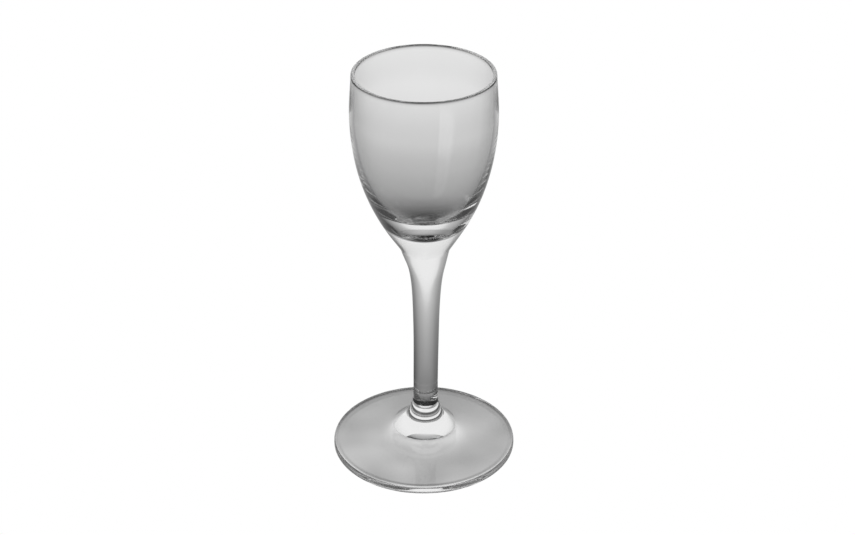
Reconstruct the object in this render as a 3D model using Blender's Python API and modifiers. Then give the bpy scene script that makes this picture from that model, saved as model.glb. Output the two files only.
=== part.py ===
"""A stemmed vodka glass: bowl, stem, collar and foot, each turned from its own profile.

Metres, +Z up. The origin is the centre of the circle that the foot rests on.
The pieces are stacked on the axis, with the space of a weld left between them.
"""
import math

import bpy

# Welds
WELD_GAP = 0.0003           # space left between two pieces at a weld
BOWL_WELD_RADIUS = 0.00755  # bowl's base and stem's top
HUB_RADIUS = 0.0058         # collar's lower face and the hub of the foot

# Foot
FOOT_RADIUS = 0.0289        # outermost circle of the foot
FOOT_HEIGHT = 0.0115        # rest plane to the hub face
EDGE_ROUND = 0.0027         # width of the rounding between the top and the outermost circle
EDGE_HEIGHT = 0.00284       # height at which the top goes over into that rounding
EDGE_MIDDLE = 0.0015        # height of the outermost circle
CONE_SLOPE = 0.86           # fall over radius of the steep cone below the hub
KNEE_RADIUS = 0.0108        # where the cone would meet the disc without the easing
KNEE_EASE_IN = 0.00085      # easing on the cone's side of the knee, along the radius
KNEE_EASE_OUT = 0.0048      # easing on the disc's side of it
DISC_SLOPE = 0.31           # fall over radius of the disc where the easing ends
RIM_SLOPE = 0.32            # fall over radius of the disc at its edge
REST_INSET = 0.0015         # outermost circle to the flat ring that the glass rests on
REST_WIDTH = 0.0022         # width of that ring
VAULT_RISE = 0.0037         # height of the hollow underside at its centre
VAULT_SLOPE = 0.19          # rise over radius of the underside just inside the ring
VAULT_LEAD = 0.0105         # how far that slope leads inwards
CROWN_HOLD = 0.0072         # how far the middle of the underside stays level

# Collar
COLLAR_HEIGHT = 0.0060
COLLAR_TOP_RADIUS = 0.0041  # upper face, a little proud of the stem's end
WAIST_HEIGHT = 0.0020       # how low the collar stays as narrow as its top

# Stem
STEM_LENGTH = 0.0536
STEM_RADIUS = 0.00386       # plain lower end
FLARE_WIDENING = 0.264      # growth of radius over height where the flare meets the bowl
FLARE_HOLD = 0.887          # share of the length that pulls the flare straight from below
FLARE_LEAD = 0.188          # share of the length that leads the flare in from the bowl

# Bowl
BOWL_HEIGHT = 0.0580        # weld to lip
LIP_RADIUS = 0.02137        # outer circle of the lip
BELLY_RADIUS = 0.02206      # widest outer circle
BELLY_DROP = 0.01275        # lip to the widest circle
BASE_WIDENING = 0.517       # growth of radius over height just above the weld
BASE_LEAD = 0.1095          # share of the side's height that leads it out from the weld
BELLY_HOLD = 0.594          # share of the side's height over which the belly stays full
LIP_WALL = 0.00125          # wall at the lip
BELLY_WALL = 0.0014         # wall at the belly
BASE_THICKNESS = 0.0072     # solid glass between the weld and the floor of the hollow
FLOOR_SPREAD = 0.618        # share of the hollow's radius over which its floor stays flat
HOLLOW_HOLD = 0.529         # share of the hollow's height over which its side stays full
MOUTH_LEAN = 0.057          # inward lean of the wall at the lip, radius over height
MOUTH_LEAD = 0.40           # share of the belly's drop that leads the wall up to the lip

# Facets
TURN_STEPS = 48             # sides of a full turn
KNEE_PIECES = 7             # straight pieces of each curve
DISC_PIECES = 4
EDGE_PIECES = 5
VAULT_PIECES = 10
COLLAR_PIECES = 8
FLARE_PIECES = 16
SIDE_PIECES = 16
MOUTH_PIECES = 4
LIP_PIECES = 6
MERGE_DISTANCE = 0.00001

# Glass, as the photograph shows it
GLASS_COLOUR = (0.93, 0.93, 0.93, 1.0)
GLASS_ROUGHNESS = 0.02
GLASS_IOR = 1.52


def curve(start, lead, hold, end, pieces):
    """Points of a cubic curve from start to end, without the start itself."""
    points = []
    for step in range(1, pieces + 1):
        t = step / pieces
        s = 1.0 - t
        weights = (s * s * s, 3 * s * s * t, 3 * s * t * t, t * t * t)
        corners = (start, lead, hold, end)
        radius = sum(w * corner[0] for w, corner in zip(weights, corners))
        height = sum(w * corner[1] for w, corner in zip(weights, corners))
        points.append((radius, height))
    return points


def knee_curve(start, knee, end, pieces):
    """Points of a curve that leaves start towards knee and reaches end from it."""
    lead = tuple((a + 2 * b) / 3 for a, b in zip(start, knee))
    hold = tuple((a + 2 * b) / 3 for a, b in zip(end, knee))
    return curve(start, lead, hold, end, pieces)


def foot_profile():
    """Hub face, cone, disc, rounded edge, flat rest and hollow underside."""
    hub = (HUB_RADIUS, FOOT_HEIGHT)
    knee = (KNEE_RADIUS, FOOT_HEIGHT - CONE_SLOPE * (KNEE_RADIUS - HUB_RADIUS))
    knee_start = (knee[0] - KNEE_EASE_IN, knee[1] + CONE_SLOPE * KNEE_EASE_IN)
    knee_end = (knee[0] + KNEE_EASE_OUT, knee[1] - DISC_SLOPE * KNEE_EASE_OUT)
    edge_top = (FOOT_RADIUS - EDGE_ROUND, EDGE_HEIGHT)
    disc_reach = (edge_top[0] - knee_end[0]) / 3
    disc_lead = (knee_end[0] + disc_reach, knee_end[1] - DISC_SLOPE * disc_reach)
    disc_hold = (edge_top[0] - disc_reach, edge_top[1] + RIM_SLOPE * disc_reach)
    points = [(0.0, FOOT_HEIGHT), hub, knee_start]
    points += knee_curve(knee_start, knee, knee_end, KNEE_PIECES)
    points += curve(knee_end, disc_lead, disc_hold, edge_top, DISC_PIECES)

    edge_side = (FOOT_RADIUS, EDGE_MIDDLE)
    rest_outer = (FOOT_RADIUS - REST_INSET, 0.0)
    rest_inner = (rest_outer[0] - REST_WIDTH, 0.0)
    points += knee_curve(edge_top, (FOOT_RADIUS, EDGE_HEIGHT), edge_side, EDGE_PIECES)
    points += knee_curve(edge_side, (FOOT_RADIUS, 0.0), rest_outer, EDGE_PIECES)
    points.append(rest_inner)

    vault_lead = (rest_inner[0] - VAULT_LEAD, VAULT_SLOPE * VAULT_LEAD)
    crown = (0.0, VAULT_RISE)
    points += curve(rest_inner, vault_lead, (CROWN_HOLD, VAULT_RISE), crown, VAULT_PIECES)
    return points


def collar_profile():
    """Short waist from the stem's end out to the hub."""
    top = (COLLAR_TOP_RADIUS, COLLAR_HEIGHT)
    waist = (COLLAR_TOP_RADIUS, WAIST_HEIGHT)
    side = knee_curve(top, waist, (HUB_RADIUS, 0.0), COLLAR_PIECES)
    return [(0.0, COLLAR_HEIGHT), top, *side, (0.0, 0.0)]


def stem_profile():
    """Solid stem, flared at its top to the width of the bowl's base."""
    lead = FLARE_LEAD * STEM_LENGTH
    hold = FLARE_HOLD * STEM_LENGTH
    top = (BOWL_WELD_RADIUS, STEM_LENGTH)
    flare = (BOWL_WELD_RADIUS - FLARE_WIDENING * lead, STEM_LENGTH - lead)
    end = (STEM_RADIUS, 0.0)
    side = curve(top, flare, (STEM_RADIUS, hold), end, FLARE_PIECES)
    return [(0.0, STEM_LENGTH), top, *side, (0.0, 0.0)]


def wall_side(foot_of_side, lead, belly_radius, hold, lip):
    """Points of one side of the bowl's wall, from its foot by the belly up to the lip."""
    belly = (belly_radius, BOWL_HEIGHT - BELLY_DROP)
    rise = belly[1] - foot_of_side[1]
    mouth_lead = MOUTH_LEAD * BELLY_DROP
    points = curve(foot_of_side, lead, (belly_radius, belly[1] - hold * rise), belly, SIDE_PIECES)
    mouth = (lip[0] + MOUTH_LEAN * mouth_lead, lip[1] - mouth_lead)
    points += knee_curve(belly, mouth, lip, MOUTH_PIECES)
    return points


def bowl_profile():
    """Hollow from its floor to the lip, round the lip, and down the outside to the weld."""
    lip_round = LIP_WALL / 2
    lip_centre = (LIP_RADIUS - lip_round, BOWL_HEIGHT - lip_round)

    floor = (0.0, BASE_THICKNESS)
    hollow_radius = BELLY_RADIUS - BELLY_WALL
    floor_lead = (FLOOR_SPREAD * hollow_radius, BASE_THICKNESS)
    inner_lip = (lip_centre[0] - lip_round, lip_centre[1])
    points = [floor, *wall_side(floor, floor_lead, hollow_radius, HOLLOW_HOLD, inner_lip)]

    for step in range(1, LIP_PIECES):
        angle = math.pi * (1.0 - step / LIP_PIECES)
        radius = lip_centre[0] + lip_round * math.cos(angle)
        points.append((radius, lip_centre[1] + lip_round * math.sin(angle)))

    base = (BOWL_WELD_RADIUS, 0.0)
    base_lead = BASE_LEAD * (BOWL_HEIGHT - BELLY_DROP)
    base_flank = (BOWL_WELD_RADIUS + BASE_WIDENING * base_lead, base_lead)
    outer_lip = (lip_centre[0] + lip_round, lip_centre[1])
    outside = [base, *wall_side(base, base_flank, BELLY_RADIUS, BELLY_HOLD, outer_lip)]
    return points + outside[::-1] + [(0.0, 0.0)]


def glass_material(name):
    """Clear glass for one piece."""
    material = bpy.data.materials.new(name)
    material.use_nodes = True
    shader = material.node_tree.nodes["Principled BSDF"]
    shader.inputs["Base Color"].default_value = GLASS_COLOUR
    shader.inputs["Roughness"].default_value = GLASS_ROUGHNESS
    shader.inputs["Metallic"].default_value = 0.0
    shader.inputs["IOR"].default_value = GLASS_IOR
    shader.inputs["Transmission Weight"].default_value = 1.0
    return material


def turned_piece(name, profile, height, carrier, collection):
    """One solid turned about the axis from its profile, set at its height on the carrier."""
    edges = [(i, i + 1) for i in range(len(profile) - 1)]
    mesh = bpy.data.meshes.new(name)
    mesh.from_pydata([(radius, 0.0, z) for radius, z in profile], edges, [])
    mesh.materials.append(glass_material(name + "_glass"))
    piece = bpy.data.objects.new(name, mesh)
    piece.parent = carrier
    piece.location = (0.0, 0.0, height)
    collection.objects.link(piece)

    turn = piece.modifiers.new("Turn", "SCREW")
    turn.axis = "Z"
    turn.angle = 2 * math.pi
    turn.steps = TURN_STEPS
    turn.render_steps = TURN_STEPS
    turn.use_merge_vertices = True
    turn.merge_threshold = MERGE_DISTANCE
    turn.use_smooth_shade = True

    shading = piece.modifiers.new("Flat weld faces", "WEIGHTED_NORMAL")
    shading.keep_sharp = True
    return piece


def build():
    """Clear the scene and stack the four pieces from the foot up."""
    for old in list(bpy.data.objects):
        bpy.data.objects.remove(old, do_unlink=True)

    collection = bpy.data.collections.new("vodka_glass")
    bpy.context.scene.collection.children.link(collection)
    carrier = bpy.data.objects.new("vodka_glass", None)
    collection.objects.link(carrier)

    collar_seat = FOOT_HEIGHT + WELD_GAP
    stem_seat = collar_seat + COLLAR_HEIGHT + WELD_GAP
    bowl_seat = stem_seat + STEM_LENGTH + WELD_GAP
    turned_piece("foot", foot_profile(), 0.0, carrier, collection)
    turned_piece("collar", collar_profile(), collar_seat, carrier, collection)
    turned_piece("stem", stem_profile(), stem_seat, carrier, collection)
    turned_piece("bowl", bowl_profile(), bowl_seat, carrier, collection)


build()
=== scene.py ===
"""Looks of the stemmed vodka glass: foot, collar, stem and bowl of clear glass, fused at their welds.

Metres, +Z up. The origin is the centre of the circle that the foot rests on, and the camera stands at -Y.
"""

from __future__ import annotations

import logging
import math
from collections.abc import Sequence
from dataclasses import dataclass, field
from enum import Enum

import bpy
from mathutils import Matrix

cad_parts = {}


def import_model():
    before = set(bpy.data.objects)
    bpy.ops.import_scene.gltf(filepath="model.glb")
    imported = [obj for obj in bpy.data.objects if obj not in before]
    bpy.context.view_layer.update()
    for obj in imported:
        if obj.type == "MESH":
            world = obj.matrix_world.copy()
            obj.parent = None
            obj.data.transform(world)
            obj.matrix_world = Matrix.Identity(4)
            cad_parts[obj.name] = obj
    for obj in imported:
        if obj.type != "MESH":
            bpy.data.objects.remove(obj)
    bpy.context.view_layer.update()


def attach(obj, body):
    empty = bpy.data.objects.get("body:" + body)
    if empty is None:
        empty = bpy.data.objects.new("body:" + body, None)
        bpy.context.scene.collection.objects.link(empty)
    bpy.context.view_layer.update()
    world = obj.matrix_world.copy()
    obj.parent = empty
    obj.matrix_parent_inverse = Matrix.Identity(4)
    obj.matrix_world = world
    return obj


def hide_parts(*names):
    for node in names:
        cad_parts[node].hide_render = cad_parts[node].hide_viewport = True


LOG = logging.getLogger("vodka_glass")

Point = tuple[float, float]
Stop = tuple[float, float]
Bar = tuple[float, float, float, float]
Color = tuple[float, float, float, float]

BODY = "root"
SWAY_NAME = "sway"
CAMERA_RAY = "Is Camera Ray"

WHITE = (1.0, 1.0, 1.0, 1.0)
NO_WELD = -1.0          # height where no face lies
WELD_SPACE = 0.000002   # space between two pieces at a weld
MIDDLE = 0.5            # middle of a ramp and of a noise

FOOT_WELD_HEIGHT = 0.0115
COLLAR_WELD_HEIGHT = 0.01795
BOWL_WELD_HEIGHT = 0.07186
HUB_RADIUS = 0.0060
COLLAR_TOP_RADIUS = 0.00386
BOWL_WELD_RADIUS = 0.00755


class Reckoning(Enum):
    """Kinds of value that a node can reckon with, by the type of the node."""

    NUMBER = "ShaderNodeMath"
    VECTOR = "ShaderNodeVectorMath"
    WHOLE = "FunctionNodeIntegerMath"


def cubic(start: Point, lead: Point, hold: Point, end: Point, pieces: int) -> list[Point]:
    """Follow a cubic curve from start to end.

    Args:
        start: first point, which isn't part of the result.
        lead: point that the curve leaves start towards.
        hold: point that the curve reaches end from.
        end: last point.
        pieces: number of straight pieces.

    Returns:
        The points after start, as radius and height.
    """
    corners = (start, lead, hold, end)
    points = []
    for step in range(1, pieces + 1):
        way = step / pieces
        left = 1.0 - way
        weights = (left * left * left, 3 * left * left * way, 3 * left * way * way, way * way * way)
        radius = sum(weight * corner[0] for weight, corner in zip(weights, corners))
        height = sum(weight * corner[1] for weight, corner in zip(weights, corners))
        points.append((radius, height))
    return points


def knee(start: Point, corner: Point, end: Point, pieces: int) -> list[Point]:
    """Follow a curve that leaves start towards a corner and reaches end from it.

    Args:
        start: first point, which isn't part of the result.
        corner: point that the curve rounds off.
        end: last point.
        pieces: number of straight pieces.

    Returns:
        The points after start, as radius and height.
    """
    lead = ((start[0] + 2 * corner[0]) / 3, (start[1] + 2 * corner[1]) / 3)
    hold = ((end[0] + 2 * corner[0]) / 3, (end[1] + 2 * corner[1]) / 3)
    return cubic(start, lead, hold, end, pieces)


class Wiring:
    """Adds nodes to one tree and joins them."""

    def __init__(self, tree: bpy.types.NodeTree) -> None:
        """Keep the tree to work on."""
        self.tree = tree

    def feed(self, socket: bpy.types.NodeSocket, value: object) -> None:
        """Join an output to an input, or set the input's own value.

        Args:
            socket: input to feed.
            value: output socket, or a plain value.
        """
        if isinstance(value, bpy.types.NodeSocket):
            self.tree.links.new(value, socket)
        else:
            socket.default_value = value

    def node(self, kind: str, options: dict[str, object] | None = None, **values: object) -> bpy.types.Node:
        """Add a node.

        Args:
            kind: type of the node.
            options: settings of the node itself.
            values: inputs by name, with an underscore for each space.

        Returns:
            The new node.
        """
        node = self.tree.nodes.new(kind)
        for name, option in (options or {}).items():
            setattr(node, name, option)
        for name, value in values.items():
            self.feed(node.inputs[name.replace("_", " ")], value)
        return node

    def reckon(self, operation: str, *values: object,
               kind: Reckoning = Reckoning.NUMBER) -> bpy.types.NodeSocket:
        """Work on values in the order given.

        Args:
            operation: what the node does with its inputs.
            values: the inputs in order.
            kind: kind of the values.

        Returns:
            The node's first output.
        """
        node = self.node(kind.value, {"operation": operation})
        for socket, value in zip(node.inputs, values):
            self.feed(socket, value)
        return node.outputs[0]

    def degrees(self, operation: str, *values: object) -> bpy.types.NodeSocket:
        """Work out an angle, and give it in degrees.

        Args:
            operation: what gives the angle.
            values: the inputs in order.

        Returns:
            The angle.
        """
        return self.reckon("DEGREES", self.reckon(operation, *values))

    def length(self, vector: bpy.types.NodeSocket) -> bpy.types.NodeSocket:
        """Give the length of a vector."""
        return self.node("ShaderNodeVectorMath", {"operation": "LENGTH"}, Vector=vector).outputs["Value"]

    def ramp(self, value: bpy.types.NodeSocket, stops: Sequence[Stop]) -> bpy.types.NodeSocket:
        """Read a tone from a row of stops, with straight lines between them.

        Args:
            value: where to read.
            stops: places in rising order, each with its tone.

        Returns:
            The tone.
        """
        low, high = stops[0][0], stops[-1][0]
        place = self.node("ShaderNodeMapRange", Value=value, From_Min=low, From_Max=high)
        node = self.node("ShaderNodeValToRGB", Fac=place.outputs["Result"])
        node.color_ramp.interpolation = "LINEAR"
        elements = node.color_ramp.elements
        while len(elements) < len(stops):
            elements.new(MIDDLE)
        for element, (stop, tone) in zip(elements, stops):
            element.position = (stop - low) / (high - low)
            element.color = (tone, tone, tone, 1.0)
        return node.outputs["Color"]

    def ease(self, value: bpy.types.NodeSocket, reach: Point) -> bpy.types.NodeSocket:
        """Go softly from 0 to 1.

        Args:
            value: where to read.
            reach: where the change starts and where it ends.

        Returns:
            The share of the way.
        """
        node = self.node("ShaderNodeMapRange", {"interpolation_type": "SMOOTHSTEP"}, Value=value,
                         From_Min=reach[0], From_Max=reach[1])
        return node.outputs["Result"]

    def bar(self, value: bpy.types.NodeSocket, reach: Bar) -> bpy.types.NodeSocket:
        """Go softly from 0 to 1 and back.

        Args:
            value: where to read.
            reach: where the rise starts and ends, and where the fall starts and ends.

        Returns:
            The share of the full height.
        """
        rise = self.ease(value, reach[:2])
        fall = self.ease(value, reach[2:])
        return self.reckon("MULTIPLY", rise, self.reckon("SUBTRACT", 1.0, fall))

    def blend(self, share: bpy.types.NodeSocket, first: object, second: object) -> bpy.types.NodeSocket:
        """Mix two tones.

        Args:
            share: share of the second tone.
            first: tone at a share of 0.
            second: tone at a share of 1.

        Returns:
            The mixed tone.
        """
        node = self.node("ShaderNodeMix", {"data_type": "FLOAT"}, Factor=share, A=first, B=second)
        return node.outputs["Result"]


@dataclass(frozen=True)
class ClearGlass:
    """Blown and pressed clear glass, drawn a little uneven and dull in patches."""

    tint: Color = WHITE
    ior: float = 1.52
    polish: float = 0.0
    dullness: float = 0.012
    patch_size: float = 0.02
    patch_detail: float = 2.0
    patch_reach: Point = (0.45, 0.75)
    draw_size: float = 0.006
    draw_detail: float = 0.0
    draw_stretch: float = 0.15
    draw_depth: float = 0.000004

    def material(self, name: str) -> bpy.types.Material:
        """Make the glass of one piece.

        Args:
            name: name of the piece.

        Returns:
            The material, with its drawn waves and its dull patches from nodes.
        """
        material = bpy.data.materials.new(f"{name}_clear_glass")
        material.use_nodes = True
        wiring = Wiring(material.node_tree)
        shader = material.node_tree.nodes["Principled BSDF"]
        shader.inputs["Base Color"].default_value = self.tint
        shader.inputs["IOR"].default_value = self.ior
        shader.inputs["Transmission Weight"].default_value = 1.0

        place = wiring.node("ShaderNodeTexCoord").outputs["Object"]
        patches = wiring.node("ShaderNodeTexNoise", Vector=place, Scale=1.0 / self.patch_size,
                              Detail=self.patch_detail)
        rough = wiring.node("ShaderNodeMapRange", Value=patches.outputs["Fac"], From_Min=self.patch_reach[0],
                            From_Max=self.patch_reach[1], To_Min=self.polish, To_Max=self.dullness)
        wiring.feed(shader.inputs["Roughness"], rough.outputs["Result"])

        stretched = wiring.node("ShaderNodeMapping", Vector=place, Scale=(1.0, 1.0, self.draw_stretch))
        waves = wiring.node("ShaderNodeTexNoise", Vector=stretched.outputs["Vector"],
                            Scale=1.0 / self.draw_size, Detail=self.draw_detail)
        bump = wiring.node("ShaderNodeBump", Height=waves.outputs["Fac"], Strength=1.0,
                           Distance=self.draw_depth)
        wiring.feed(shader.inputs["Normal"], bump.outputs["Normal"])
        return material


@dataclass(frozen=True)
class FusedWeld:
    """Inner face of a weld, where one piece of glass goes on into the next."""

    name: str = "fused_weld"

    def material(self) -> bpy.types.Material:
        """Make the face clear, so that light passes it as it passes the inside of the glass.

        Returns:
            The material, which all welds share.
        """
        material = bpy.data.materials.get(self.name)
        if material is None:
            material = bpy.data.materials.new(self.name)
            material.use_nodes = True
            material.node_tree.nodes.clear()
            wiring = Wiring(material.node_tree)
            clear = wiring.node("ShaderNodeBsdfTransparent", Color=WHITE)
            wiring.node("ShaderNodeOutputMaterial", Surface=clear.outputs["BSDF"])
        return material


@dataclass(frozen=True)
class Sway:
    """How far the hand-drawn axis stands off the true one towards +X, by height."""

    stops: tuple[Stop, ...] = (
        (0.0, 0.0), (0.0060, 0.0), (0.0117, 0.00045), (0.0200, 0.00058), (0.0450, 0.00076),
        (0.0650, 0.00086), (0.0719, 0.00048), (0.0800, 0.00030), (0.1000, 0.00015), (0.1300, 0.00012))

    def at(self, height: float) -> float:
        """Give the shift of the axis.

        Args:
            height: height above the rest plane.

        Returns:
            The shift towards +X, eased from stop to stop.
        """
        for (low, first), (high, second) in zip(self.stops, self.stops[1:]):
            if height <= high:
                way = max(0.0, height - low) / (high - low)
                return first + (second - first) * way * way * (3.0 - 2.0 * way)
        return self.stops[-1][1]


@dataclass
class Lathe:
    """Turns a profile about the axis with one Geometry Nodes tree."""

    sway: Sway = field(default_factory=Sway)
    segments: int = 256
    join_distance: float = 0.0000002
    crease: float = math.radians(35.0)
    flatness: float = 0.999
    weld_reach: float = 0.00005
    tree: bpy.types.NodeTree = field(init=False)
    inputs: dict[str, str] = field(init=False, default_factory=dict)

    def __post_init__(self) -> None:
        """Build the tree."""
        self.tree = bpy.data.node_groups.new("turned_glass", "GeometryNodeTree")
        self.tree.is_modifier = True
        for name, kind in (("Profile", "Geometry"), ("Segments", "Int"), ("Lower Weld", "Float"),
                           ("Upper Weld", "Float"), ("Glass", "Material"), ("Weld", "Material")):
            socket = self.tree.interface.new_socket(name, in_out="INPUT", socket_type=f"NodeSocket{kind}")
            self.inputs[name] = socket.identifier
        self.tree.interface.new_socket("Turned", in_out="OUTPUT", socket_type="NodeSocketGeometry")
        self._lay_out()

    def _lay_out(self) -> None:
        """Put the nodes in: a grid is wrapped round the axis, closed, shaded and given its materials."""
        wiring = Wiring(self.tree)
        given = wiring.node("NodeGroupInput").outputs
        position = wiring.node("GeometryNodeInputPosition").outputs["Position"]
        closed = self._wrap(wiring, given, position)
        shaded = self._shade(wiring, closed)
        real = wiring.node("GeometryNodeRealizeInstances", Geometry=shaded).outputs["Geometry"]
        glass = wiring.node("GeometryNodeSetMaterial", Geometry=real, Material=given["Glass"])
        dressed = wiring.node("GeometryNodeSetMaterial", Geometry=glass.outputs["Geometry"],
                              Selection=self._on_weld(wiring, given, position), Material=given["Weld"])
        wiring.node("NodeGroupOutput", Turned=dressed.outputs["Geometry"])

    def _wrap(self, wiring: Wiring, given: bpy.types.NodeOutputs,
              position: bpy.types.NodeSocket) -> bpy.types.NodeSocket:
        """Wrap a grid round the axis along the profile, and join its ends and poles.

        Args:
            wiring: what adds to the tree.
            given: inputs of the tree.
            position: place of a point.

        Returns:
            The closed mesh.
        """
        profile = given["Profile"]
        count = wiring.node("GeometryNodeAttributeDomainSize", Geometry=profile).outputs["Point Count"]
        columns = wiring.reckon("ADD", given["Segments"], 1, kind=Reckoning.WHOLE)
        grid = wiring.node("GeometryNodeMeshGrid", Vertices_X=columns, Vertices_Y=count).outputs["Mesh"]

        index = wiring.node("GeometryNodeInputIndex").outputs["Index"]
        row = wiring.reckon("MODULO", index, count, kind=Reckoning.WHOLE)
        column = wiring.reckon("DIVIDE_FLOOR", index, count, kind=Reckoning.WHOLE)
        angle = wiring.reckon("MULTIPLY", wiring.reckon("DIVIDE", column, given["Segments"]), -math.tau)
        on_profile = wiring.node("GeometryNodeSampleIndex", {"data_type": "FLOAT_VECTOR", "domain": "POINT"},
                                 Geometry=profile, Value=position, Index=row)
        turned = wiring.node("ShaderNodeVectorRotate", {"rotation_type": "Z_AXIS"},
                             Vector=on_profile.outputs["Value"], Angle=angle)

        shift = wiring.node("GeometryNodeInputNamedAttribute", {"data_type": "FLOAT"}, Name=SWAY_NAME)
        swayed = wiring.node("GeometryNodeSampleIndex", {"data_type": "FLOAT", "domain": "POINT"},
                             Geometry=profile, Value=shift.outputs["Attribute"], Index=row)
        aside = wiring.node("ShaderNodeCombineXYZ", X=swayed.outputs["Value"])
        wrapped = wiring.node("GeometryNodeSetPosition", Geometry=grid, Position=turned.outputs["Vector"],
                              Offset=aside.outputs["Vector"])
        closed = wiring.node("GeometryNodeMergeByDistance", Geometry=wrapped.outputs["Geometry"],
                             Distance=self.join_distance)
        return closed.outputs["Geometry"]

    def _shade(self, wiring: Wiring, mesh: bpy.types.NodeSocket) -> bpy.types.NodeSocket:
        """Shade the mesh smooth, with its sharp bends as edges.

        Args:
            wiring: what adds to the tree.
            mesh: mesh to shade.

        Returns:
            The shaded mesh.
        """
        smooth = wiring.node("GeometryNodeSetShadeSmooth", Geometry=mesh)
        bend = wiring.node("GeometryNodeInputMeshEdgeAngle").outputs["Unsigned Angle"]
        sharp = wiring.reckon("GREATER_THAN", bend, self.crease)
        creased = wiring.node("GeometryNodeStoreNamedAttribute", {"data_type": "BOOLEAN", "domain": "EDGE"},
                              Geometry=smooth.outputs["Geometry"], Name="sharp_edge", Value=sharp)
        return creased.outputs["Geometry"]

    def _on_weld(self, wiring: Wiring, given: bpy.types.NodeOutputs,
                 position: bpy.types.NodeSocket) -> bpy.types.NodeSocket:
        """Find the level faces at the heights of the welds.

        Args:
            wiring: what adds to the tree.
            given: inputs of the tree.
            position: middle of a face.

        Returns:
            Whether the face is part of a weld.
        """
        height = wiring.node("ShaderNodeSeparateXYZ", Vector=position).outputs["Z"]
        normal = wiring.node("GeometryNodeInputNormal").outputs["Normal"]
        upright = wiring.reckon("ABSOLUTE", wiring.node("ShaderNodeSeparateXYZ", Vector=normal).outputs["Z"])
        level = wiring.reckon("GREATER_THAN", upright, self.flatness)
        on_lower = wiring.reckon("COMPARE", height, given["Lower Weld"], self.weld_reach)
        on_upper = wiring.reckon("COMPARE", height, given["Upper Weld"], self.weld_reach)
        return wiring.reckon("MULTIPLY", level, wiring.reckon("MAXIMUM", on_lower, on_upper))

    def turn(self, name: str, profile: Sequence[Point], welds: Point,
             glass: bpy.types.Material) -> bpy.types.Object:
        """Turn one closed piece.

        Args:
            name: name of the piece.
            profile: radius and height from one point on the axis to the other.
            welds: heights of the lower and the upper weld face.
            glass: material of the outside.

        Returns:
            The piece as a plain mesh, with its place in its vertices.
        """
        line = bpy.data.meshes.new(f"{name}_profile")
        edges = [(first, first + 1) for first in range(len(profile) - 1)]
        line.from_pydata([(radius, 0.0, height) for radius, height in profile], edges, [])
        shifts = line.attributes.new(SWAY_NAME, "FLOAT", "POINT")
        shifts.data.foreach_set("value", [self.sway.at(height) for _, height in profile])
        holder = bpy.data.objects.new(f"{name}_profile", line)
        bpy.context.scene.collection.objects.link(holder)

        modifier = holder.modifiers.new("turn", "NODES")
        modifier.node_group = self.tree
        values = {"Segments": self.segments, "Lower Weld": welds[0], "Upper Weld": welds[1],
                  "Glass": glass, "Weld": FusedWeld().material()}
        for label, value in values.items():
            modifier[self.inputs[label]] = value

        depsgraph = bpy.context.evaluated_depsgraph_get()
        mesh = bpy.data.meshes.new_from_object(holder.evaluated_get(depsgraph), depsgraph=depsgraph)
        mesh.name = name
        holder.modifiers.remove(modifier)
        bpy.data.objects.remove(holder)
        bpy.data.meshes.remove(line)
        piece = bpy.data.objects.new(name, mesh)
        bpy.context.scene.collection.objects.link(piece)
        return piece


@dataclass
class TurnedPiece:
    """One closed piece of the glass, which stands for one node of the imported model."""

    node: str
    finish: ClearGlass = field(default_factory=ClearGlass)

    def profile(self) -> list[Point]:
        """Give the radius and height of the piece's section, from axis to axis."""
        raise NotImplementedError

    def welds(self) -> Point:
        """Give the heights of the lower and the upper weld face."""
        return NO_WELD, NO_WELD

    def dress(self) -> bpy.types.Material:
        """Make the glass that the piece is dressed in."""
        return self.finish.material(self.node)

    def build(self, lathe: Lathe) -> bpy.types.Object:
        """Turn and dress the piece and put it on the frame.

        Args:
            lathe: what turns the profile.

        Returns:
            The finished piece.
        """
        piece = lathe.turn(f"{self.node}_glass", self.profile(), self.welds(), self.dress())
        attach(piece, BODY)
        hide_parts(self.node)
        return piece


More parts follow.
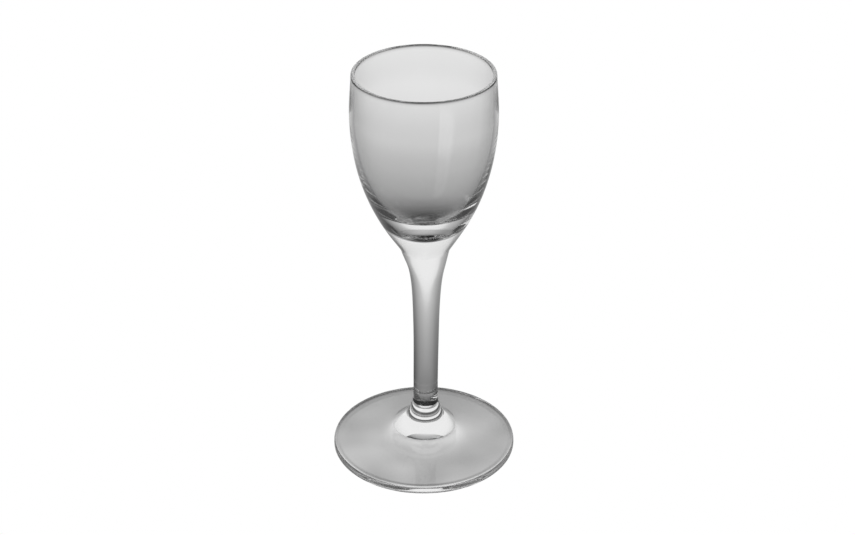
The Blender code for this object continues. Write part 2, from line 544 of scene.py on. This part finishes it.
@dataclass
class Foot(TurnedPiece):
    """Coned disc that rests on a flat ring and is hollowed underneath."""

    node: str = "foot"
    radius: float = 0.0289
    cone_slope: float = 0.86
    knee_radius: float = 0.0108
    knee_ease: Point = (0.00085, 0.0048)
    knee_pieces: int = 40
    disc_slope: float = 0.31
    disc_pieces: int = 24
    rim_start: Point = (0.02725, 0.0027)
    rim_slope: float = 0.26
    rim_lead: Point = (0.0012, 0.0003)
    rim_hold: float = 0.0017
    rim_middle: float = 0.0012
    rim_pieces: int = 24
    toe_lead: float = 0.0004
    toe_pieces: int = 16
    rest_outer: float = 0.0274
    rest_inner: float = 0.0264
    vault_slope: float = 0.17
    vault_lead: float = 0.0117
    vault_rise: float = 0.0037
    vault_pieces: int = 48
    crown_hold: float = 0.0072

    def profile(self) -> list[Point]:
        """Give the hub face, the coned top, the rounded rim, the flat rest and the vaulted underside.

        Returns:
            Radius and height, from the middle of the hub to the middle of the underside.
        """
        hub = (HUB_RADIUS, FOOT_WELD_HEIGHT - WELD_SPACE)
        rest = (self.rest_inner, 0.0)
        return [(0.0, hub[1]), hub, *self._top(hub), *self._rim(), rest, *self._underside(rest)]

    def _top(self, hub: Point) -> list[Point]:
        """Follow the straight cone, the knee and the disc.

        Args:
            hub: upper edge of the hub.

        Returns:
            The points after the hub, up to the start of the rim.
        """
        bend = (self.knee_radius, hub[1] - self.cone_slope * (self.knee_radius - hub[0]))
        cone_end = (bend[0] - self.knee_ease[0], bend[1] + self.cone_slope * self.knee_ease[0])
        disc_start = (bend[0] + self.knee_ease[1], bend[1] - self.disc_slope * self.knee_ease[1])
        reach = (self.rim_start[0] - disc_start[0]) / 3
        lead = (disc_start[0] + reach, disc_start[1] - self.disc_slope * reach)
        hold = (self.rim_start[0] - reach, self.rim_start[1] + self.rim_slope * reach)
        rounded = knee(cone_end, bend, disc_start, self.knee_pieces)
        return [cone_end, *rounded, *cubic(disc_start, lead, hold, self.rim_start, self.disc_pieces)]

    def _rim(self) -> list[Point]:
        """Follow the rounding of the rim.

        Returns:
            The points after the start of the rim, down to the rest.
        """
        middle = (self.radius, self.rim_middle)
        lead = (self.rim_start[0] + self.rim_lead[0], self.rim_start[1] + self.rim_lead[1])
        hold = (self.radius, self.rim_middle + self.rim_hold)
        toe = (self.rest_outer + self.toe_lead, 0.0)
        upper = cubic(self.rim_start, lead, hold, middle, self.rim_pieces)
        return upper + cubic(middle, (self.radius, 0.0), toe, (self.rest_outer, 0.0), self.toe_pieces)

    def _underside(self, rest: Point) -> list[Point]:
        """Follow the vault under the foot.

        Args:
            rest: inner edge of the rest.

        Returns:
            The points after the rest, up to the axis.
        """
        vault = (rest[0] - self.vault_lead, self.vault_slope * self.vault_lead)
        crown = (0.0, self.vault_rise)
        return cubic(rest, vault, (self.crown_hold, self.vault_rise), crown, self.vault_pieces)

    def welds(self) -> Point:
        """Give no lower weld, and the hub."""
        return NO_WELD, FOOT_WELD_HEIGHT - WELD_SPACE


@dataclass
class Collar(TurnedPiece):
    """Short waist between the stem's end and the hub of the foot."""

    node: str = "collar"
    waist_lead: float = 0.0015
    waist_pieces: int = 32
    hub_lead: Point = (0.0007, 0.0012)

    def profile(self) -> list[Point]:
        """Give the upper face, the hollow waist and the lower face.

        Returns:
            Radius and height, from the middle of the upper face to the middle of the lower face.
        """
        top = (COLLAR_TOP_RADIUS, COLLAR_WELD_HEIGHT - WELD_SPACE)
        bottom = (HUB_RADIUS, FOOT_WELD_HEIGHT)
        waist = (top[0], top[1] - self.waist_lead)
        hub = (bottom[0] - self.hub_lead[0], bottom[1] + self.hub_lead[1])
        side = cubic(top, waist, hub, bottom, self.waist_pieces)
        return [(0.0, top[1]), top, *side, (0.0, bottom[1])]

    def welds(self) -> Point:
        """Give the hub and the stem's end."""
        return FOOT_WELD_HEIGHT, COLLAR_WELD_HEIGHT - WELD_SPACE


@dataclass
class Stem(TurnedPiece):
    """Solid drawn stem that flares to the width of the bowl's base."""

    node: str = "stem"
    flare_widening: float = 0.264
    flare_lead: float = 0.01009
    flare_hold: float = 0.0449
    flare_pieces: int = 72
    plain_height: float = 0.02076

    def profile(self) -> list[Point]:
        """Give the upper face, the flare, the plain end and the lower face.

        Returns:
            Radius and height, from the middle of the upper face to the middle of the lower face.
        """
        top = (BOWL_WELD_RADIUS, BOWL_WELD_HEIGHT - WELD_SPACE)
        flare = (top[0] - self.flare_widening * self.flare_lead, top[1] - self.flare_lead)
        plain = (COLLAR_TOP_RADIUS, self.plain_height)
        hold = (plain[0], plain[1] + self.flare_hold)
        bottom = (COLLAR_TOP_RADIUS, COLLAR_WELD_HEIGHT)
        side = cubic(top, flare, hold, plain, self.flare_pieces)
        return [(0.0, top[1]), top, *side, bottom, (0.0, bottom[1])]

    def welds(self) -> Point:
        """Give the collar and the bowl's base."""
        return COLLAR_WELD_HEIGHT, BOWL_WELD_HEIGHT - WELD_SPACE


@dataclass
class Bowl(TurnedPiece):
    """Deep bowl with a thick base, a rounded floor and a thin rounded lip."""

    node: str = "bowl"
    lip_height: float = 0.130
    lip_radius: float = 0.02137
    lip_wall: float = 0.00125
    lip_pieces: int = 14
    belly_radius: float = 0.02206
    belly_height: float = 0.11725
    belly_wall: float = 0.0014
    belly_hold: float = 0.02686
    base_widening: float = 0.517
    base_lead: float = 0.004955
    mouth_lean: float = 0.057
    mouth_lead: float = 0.0051
    mouth_pieces: int = 16
    shoulder_lead: float = 0.0040
    floor_height: float = 0.07922
    floor_lead: float = 0.01276
    hollow_hold: float = 0.0201
    wall_pieces: int = 64

    def profile(self) -> list[Point]:
        """Give the hollow from its floor to the lip, the lip, the outside and the base.

        Returns:
            Radius and height, from the middle of the floor to the middle of the base.
        """
        lip_round = self.lip_wall / 2
        middle = self.lip_radius - lip_round
        level = self.lip_height - lip_round
        lip = []
        for step in range(1, self.lip_pieces):
            angle = math.pi * (1.0 - step / self.lip_pieces)
            lip.append((middle + lip_round * math.cos(angle), level + lip_round * math.sin(angle)))
        hollow = self._hollow((middle - lip_round, level))
        outside = self._outside((middle + lip_round, level))
        return hollow + lip + outside[::-1] + [(0.0, BOWL_WELD_HEIGHT)]

    def _hollow(self, lip: Point) -> list[Point]:
        """Follow the hollow.

        Args:
            lip: where the rounding of the lip starts inside.

        Returns:
            The points from the middle of the floor to the lip.
        """
        floor = (0.0, self.floor_height)
        spread = (self.floor_lead, self.floor_height)
        belly = (self.belly_radius - self.belly_wall, self.belly_height)
        hold = (belly[0], belly[1] - self.hollow_hold)
        return [floor, *cubic(floor, spread, hold, belly, self.wall_pieces), *self._mouth(belly, lip)]

    def _outside(self, lip: Point) -> list[Point]:
        """Follow the outside.

        Args:
            lip: where the rounding of the lip starts outside.

        Returns:
            The points from the edge of the base to the lip.
        """
        base = (BOWL_WELD_RADIUS, BOWL_WELD_HEIGHT)
        flank = (base[0] + self.base_widening * self.base_lead, base[1] + self.base_lead)
        belly = (self.belly_radius, self.belly_height)
        hold = (belly[0], belly[1] - self.belly_hold)
        return [base, *cubic(base, flank, hold, belly, self.wall_pieces), *self._mouth(belly, lip)]

    def _mouth(self, belly: Point, lip: Point) -> list[Point]:
        """Follow the wall from the belly to the lip.

        Args:
            belly: widest point of that side of the wall.
            lip: where the rounding of the lip starts.

        Returns:
            The points after the belly.
        """
        shoulder = (belly[0], belly[1] + self.shoulder_lead)
        mouth = (lip[0] + self.mouth_lean * self.mouth_lead, lip[1] - self.mouth_lead)
        return cubic(belly, shoulder, mouth, lip, self.mouth_pieces)

    def welds(self) -> Point:
        """Give the base, and no upper weld."""
        return BOWL_WELD_HEIGHT, NO_WELD


@dataclass
class Stage:
    """Floor and room that are white to the camera, and a sweep of greys that only the glass sees.

    A stop of the room is an angle in degrees with a tone or a share. A stop of the floor is a distance with
    the share of light that is left there.
    """

    floor_size: float = 8.0
    floor_drop: float = 0.0001
    # Glow behind the glass, by the angle from its middle.
    glow_rise: float = math.radians(15.0)
    glow_narrowing: float = 1.2
    glow: tuple[Stop, ...] = (
        (0, 0.90), (30, 0.90), (34, 0.88), (39, 0.82), (42, 0.68), (44, 0.575), (48, 0.48), (57, 0.34),
        (65, 0.23), (80, 0.08), (105, 0.015), (180, 0.015))
    # Fill at the sides and behind the camera, by elevation, and its share by the angle from the glow.
    fill: tuple[Stop, ...] = (
        (-90, 0.0), (-34, 0.0), (-24, 0.29), (-12, 0.35), (-4, 0.18), (4, 0.09), (40, 0.08), (90, 0.02))
    fill_spread: tuple[Stop, ...] = (
        (0, 0.0), (62, 0.0), (100, 0.58), (115, 0.62), (140, 1.0), (180, 1.0))
    # Soft window on the left, by the angle from -X.
    window: tuple[Stop, ...] = ((0, 0.12), (35, 0.10), (60, 0.0), (180, 0.0))
    # Strip of light in front on the left, by the turn from +Y to -X and by elevation.
    strip_tone: float = 0.8
    strip_turn: Bar = (122.0, 132.0, 152.5, 154.5)
    strip_rise: Bar = (-18.0, -11.0, 8.0, 16.0)
    # Painted shadow on the floor, by the distance from a place just behind the foot, with clouds of painted
    # caustic light and shadow near the foot.
    shade_place: Point = (0.0, 0.033)
    shade: tuple[Stop, ...] = (
        (0.0, 0.48), (0.010, 0.55), (0.020, 0.66), (0.035, 0.76), (0.050, 0.85), (0.080, 1.0))
    caustic_cloud_size: float = 0.018
    caustic_cloud_detail: float = 1.0
    caustic_cloud_depth: float = 0.90
    caustic_cloud_reach: Point = (0.028, 0.045)
    caustic_cloud_drift: float = 1.1

    def build(self) -> None:
        """Make the floor and the room."""
        self._floor()
        self._room()

    def _floor(self) -> None:
        """Make the floor, white to the camera and clear but shaded to the glass."""
        half = self.floor_size / 2
        corners = ((-half, -half), (half, -half), (half, half), (-half, half))
        mesh = bpy.data.meshes.new("floor")
        mesh.from_pydata([(x, y, -self.floor_drop) for x, y in corners], [], [(0, 1, 2, 3)])
        floor = bpy.data.objects.new("floor", mesh)
        bpy.context.scene.collection.objects.link(floor)

        material = bpy.data.materials.new("pale_floor")
        material.use_nodes = True
        material.node_tree.nodes.clear()
        mesh.materials.append(material)
        wiring = Wiring(material.node_tree)
        clear = wiring.node("ShaderNodeBsdfTransparent", Color=self._floor_shade(wiring))
        plain = wiring.node("ShaderNodeEmission", Color=WHITE, Strength=1.0)
        ray = wiring.node("ShaderNodeLightPath").outputs[CAMERA_RAY]
        seen = wiring.node("ShaderNodeMixShader", Fac=ray)
        wiring.feed(seen.inputs[1], clear.outputs["BSDF"])
        wiring.feed(seen.inputs[2], plain.outputs["Emission"])
        wiring.node("ShaderNodeOutputMaterial", Surface=seen.outputs["Shader"])

    def _floor_shade(self, wiring: Wiring) -> bpy.types.NodeSocket:
        """Paint shadow on the floor round the foot, where the glass keeps some of the light away, with
        clouds of painted caustic light and shadow near the foot.

        Args:
            wiring: what adds to the floor's nodes.

        Returns:
            The share of the light that is left.
        """
        place = wiring.node("ShaderNodeTexCoord").outputs["Object"]
        off_place = wiring.reckon("SUBTRACT", place, (*self.shade_place, 0.0), kind=Reckoning.VECTOR)
        left = wiring.ramp(wiring.length(off_place), self.shade)
        drifted = wiring.reckon("ADD", place, (self.caustic_cloud_drift, 0.0, 0.0), kind=Reckoning.VECTOR)
        # Clouds of painted caustic light and shadow, lighter and darker than the shade, near the foot only.
        caustic_clouds = wiring.node("ShaderNodeTexNoise", Vector=drifted, Scale=1.0 / self.caustic_cloud_size,
                             Detail=self.caustic_cloud_detail)
        near = wiring.reckon("SUBTRACT", 1.0, wiring.ease(wiring.length(place), self.caustic_cloud_reach))
        depth = wiring.reckon("MULTIPLY", near, self.caustic_cloud_depth)
        swing = wiring.reckon("SUBTRACT", caustic_clouds.outputs["Fac"], MIDDLE)
        return wiring.reckon("MULTIPLY", left, wiring.reckon("MULTIPLY_ADD", swing, depth, 1.0))

    def _room(self) -> None:
        """Make the room, white to the camera and a sweep of greys to the glass."""
        world = bpy.data.worlds.new("studio")
        bpy.context.scene.world = world
        world.use_nodes = True
        world.node_tree.nodes.clear()
        wiring = Wiring(world.node_tree)
        tone = self._tone(wiring, wiring.node("ShaderNodeTexCoord").outputs["Generated"])
        ray = wiring.node("ShaderNodeLightPath").outputs[CAMERA_RAY]
        light = wiring.node("ShaderNodeBackground", Color=wiring.blend(ray, tone, 1.0), Strength=1.0)
        wiring.node("ShaderNodeOutputWorld", Surface=light.outputs["Background"])

    def _tone(self, wiring: Wiring, direction: bpy.types.NodeSocket) -> bpy.types.NodeSocket:
        """Add up the lights that the glass sees.

        Args:
            wiring: what adds to the room's nodes.
            direction: where the glass looks.

        Returns:
            The tone that it sees there.
        """
        along = wiring.node("ShaderNodeSeparateXYZ", Vector=direction).outputs
        left = wiring.reckon("MULTIPLY", along["X"], -1.0)
        away = self._off_glow(wiring, direction)
        aside = wiring.degrees("ARCCOSINE", left)
        turn = wiring.degrees("ARCTAN2", left, along["Y"])
        level = wiring.degrees("ARCSINE", along["Z"])
        fill = wiring.reckon("MULTIPLY", wiring.ramp(level, self.fill), wiring.ramp(away, self.fill_spread))
        across = wiring.bar(turn, self.strip_turn)
        strip = wiring.reckon("MULTIPLY", across, wiring.bar(level, self.strip_rise))
        tone = wiring.reckon("ADD", wiring.ramp(away, self.glow), fill)
        tone = wiring.reckon("ADD", tone, wiring.ramp(aside, self.window))
        return wiring.reckon("MULTIPLY_ADD", strip, self.strip_tone, tone)

    def _off_glow(self, wiring: Wiring, direction: bpy.types.NodeSocket) -> bpy.types.NodeSocket:
        """Measure how far a direction lies off the middle of the glow, which is drawn in sideways.

        Args:
            wiring: what adds to the room's nodes.
            direction: where the glass looks.

        Returns:
            The angle in degrees.
        """
        middle = (0.0, math.cos(self.glow_rise), math.sin(self.glow_rise))
        drawn_in = (self.glow_narrowing, 1.0, 1.0)
        narrowed = wiring.reckon("MULTIPLY", direction, drawn_in, kind=Reckoning.VECTOR)
        towards = wiring.node("ShaderNodeVectorMath", {"operation": "DOT_PRODUCT"})
        wiring.feed(towards.inputs[0], wiring.reckon("NORMALIZE", narrowed, kind=Reckoning.VECTOR))
        wiring.feed(towards.inputs[1], middle)
        return wiring.degrees("ARCCOSINE", towards.outputs["Value"])


@dataclass
class StudioCamera:
    """Camera of the photograph: in front, looking down at the glass."""

    place: tuple[float, float, float] = (0.00117, -0.52387, 0.36175)
    tilt: float = math.radians(60.4526)
    lens: float = 82.60
    sensor: float = 36.0

    def build(self) -> None:
        """Make the camera and give it to the scene."""
        data = bpy.data.cameras.new("camera")
        data.lens = self.lens
        data.sensor_width = self.sensor
        camera = bpy.data.objects.new("camera", data)
        camera.location = self.place
        camera.rotation_euler = (self.tilt, 0.0, 0.0)
        bpy.context.scene.collection.objects.link(camera)
        bpy.context.scene.camera = camera


@dataclass
class Passes:
    """Number of surfaces that light may pass, so that it leaves the thick glass again."""

    surfaces: int = 48

    def build(self) -> None:
        """Set the number for each kind of pass, and plain colours."""
        scene = bpy.context.scene
        scene.cycles.max_bounces = self.surfaces
        scene.cycles.transmission_bounces = self.surfaces
        scene.cycles.transparent_max_bounces = self.surfaces
        scene.cycles.glossy_bounces = self.surfaces
        scene.view_settings.view_transform = "Standard"


def main() -> None:
    """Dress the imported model: camera, stage and the four pieces of glass."""
    logging.basicConfig(level=logging.INFO, format="%(message)s")
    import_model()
    Passes().build()
    StudioCamera().build()
    Stage().build()
    lathe = Lathe()
    for part in (Foot(), Collar(), Stem(), Bowl()):
        piece = part.build(lathe)
        LOG.info("%s: %d faces", piece.name, len(piece.data.polygons))


if __name__ == "__main__":
    main()
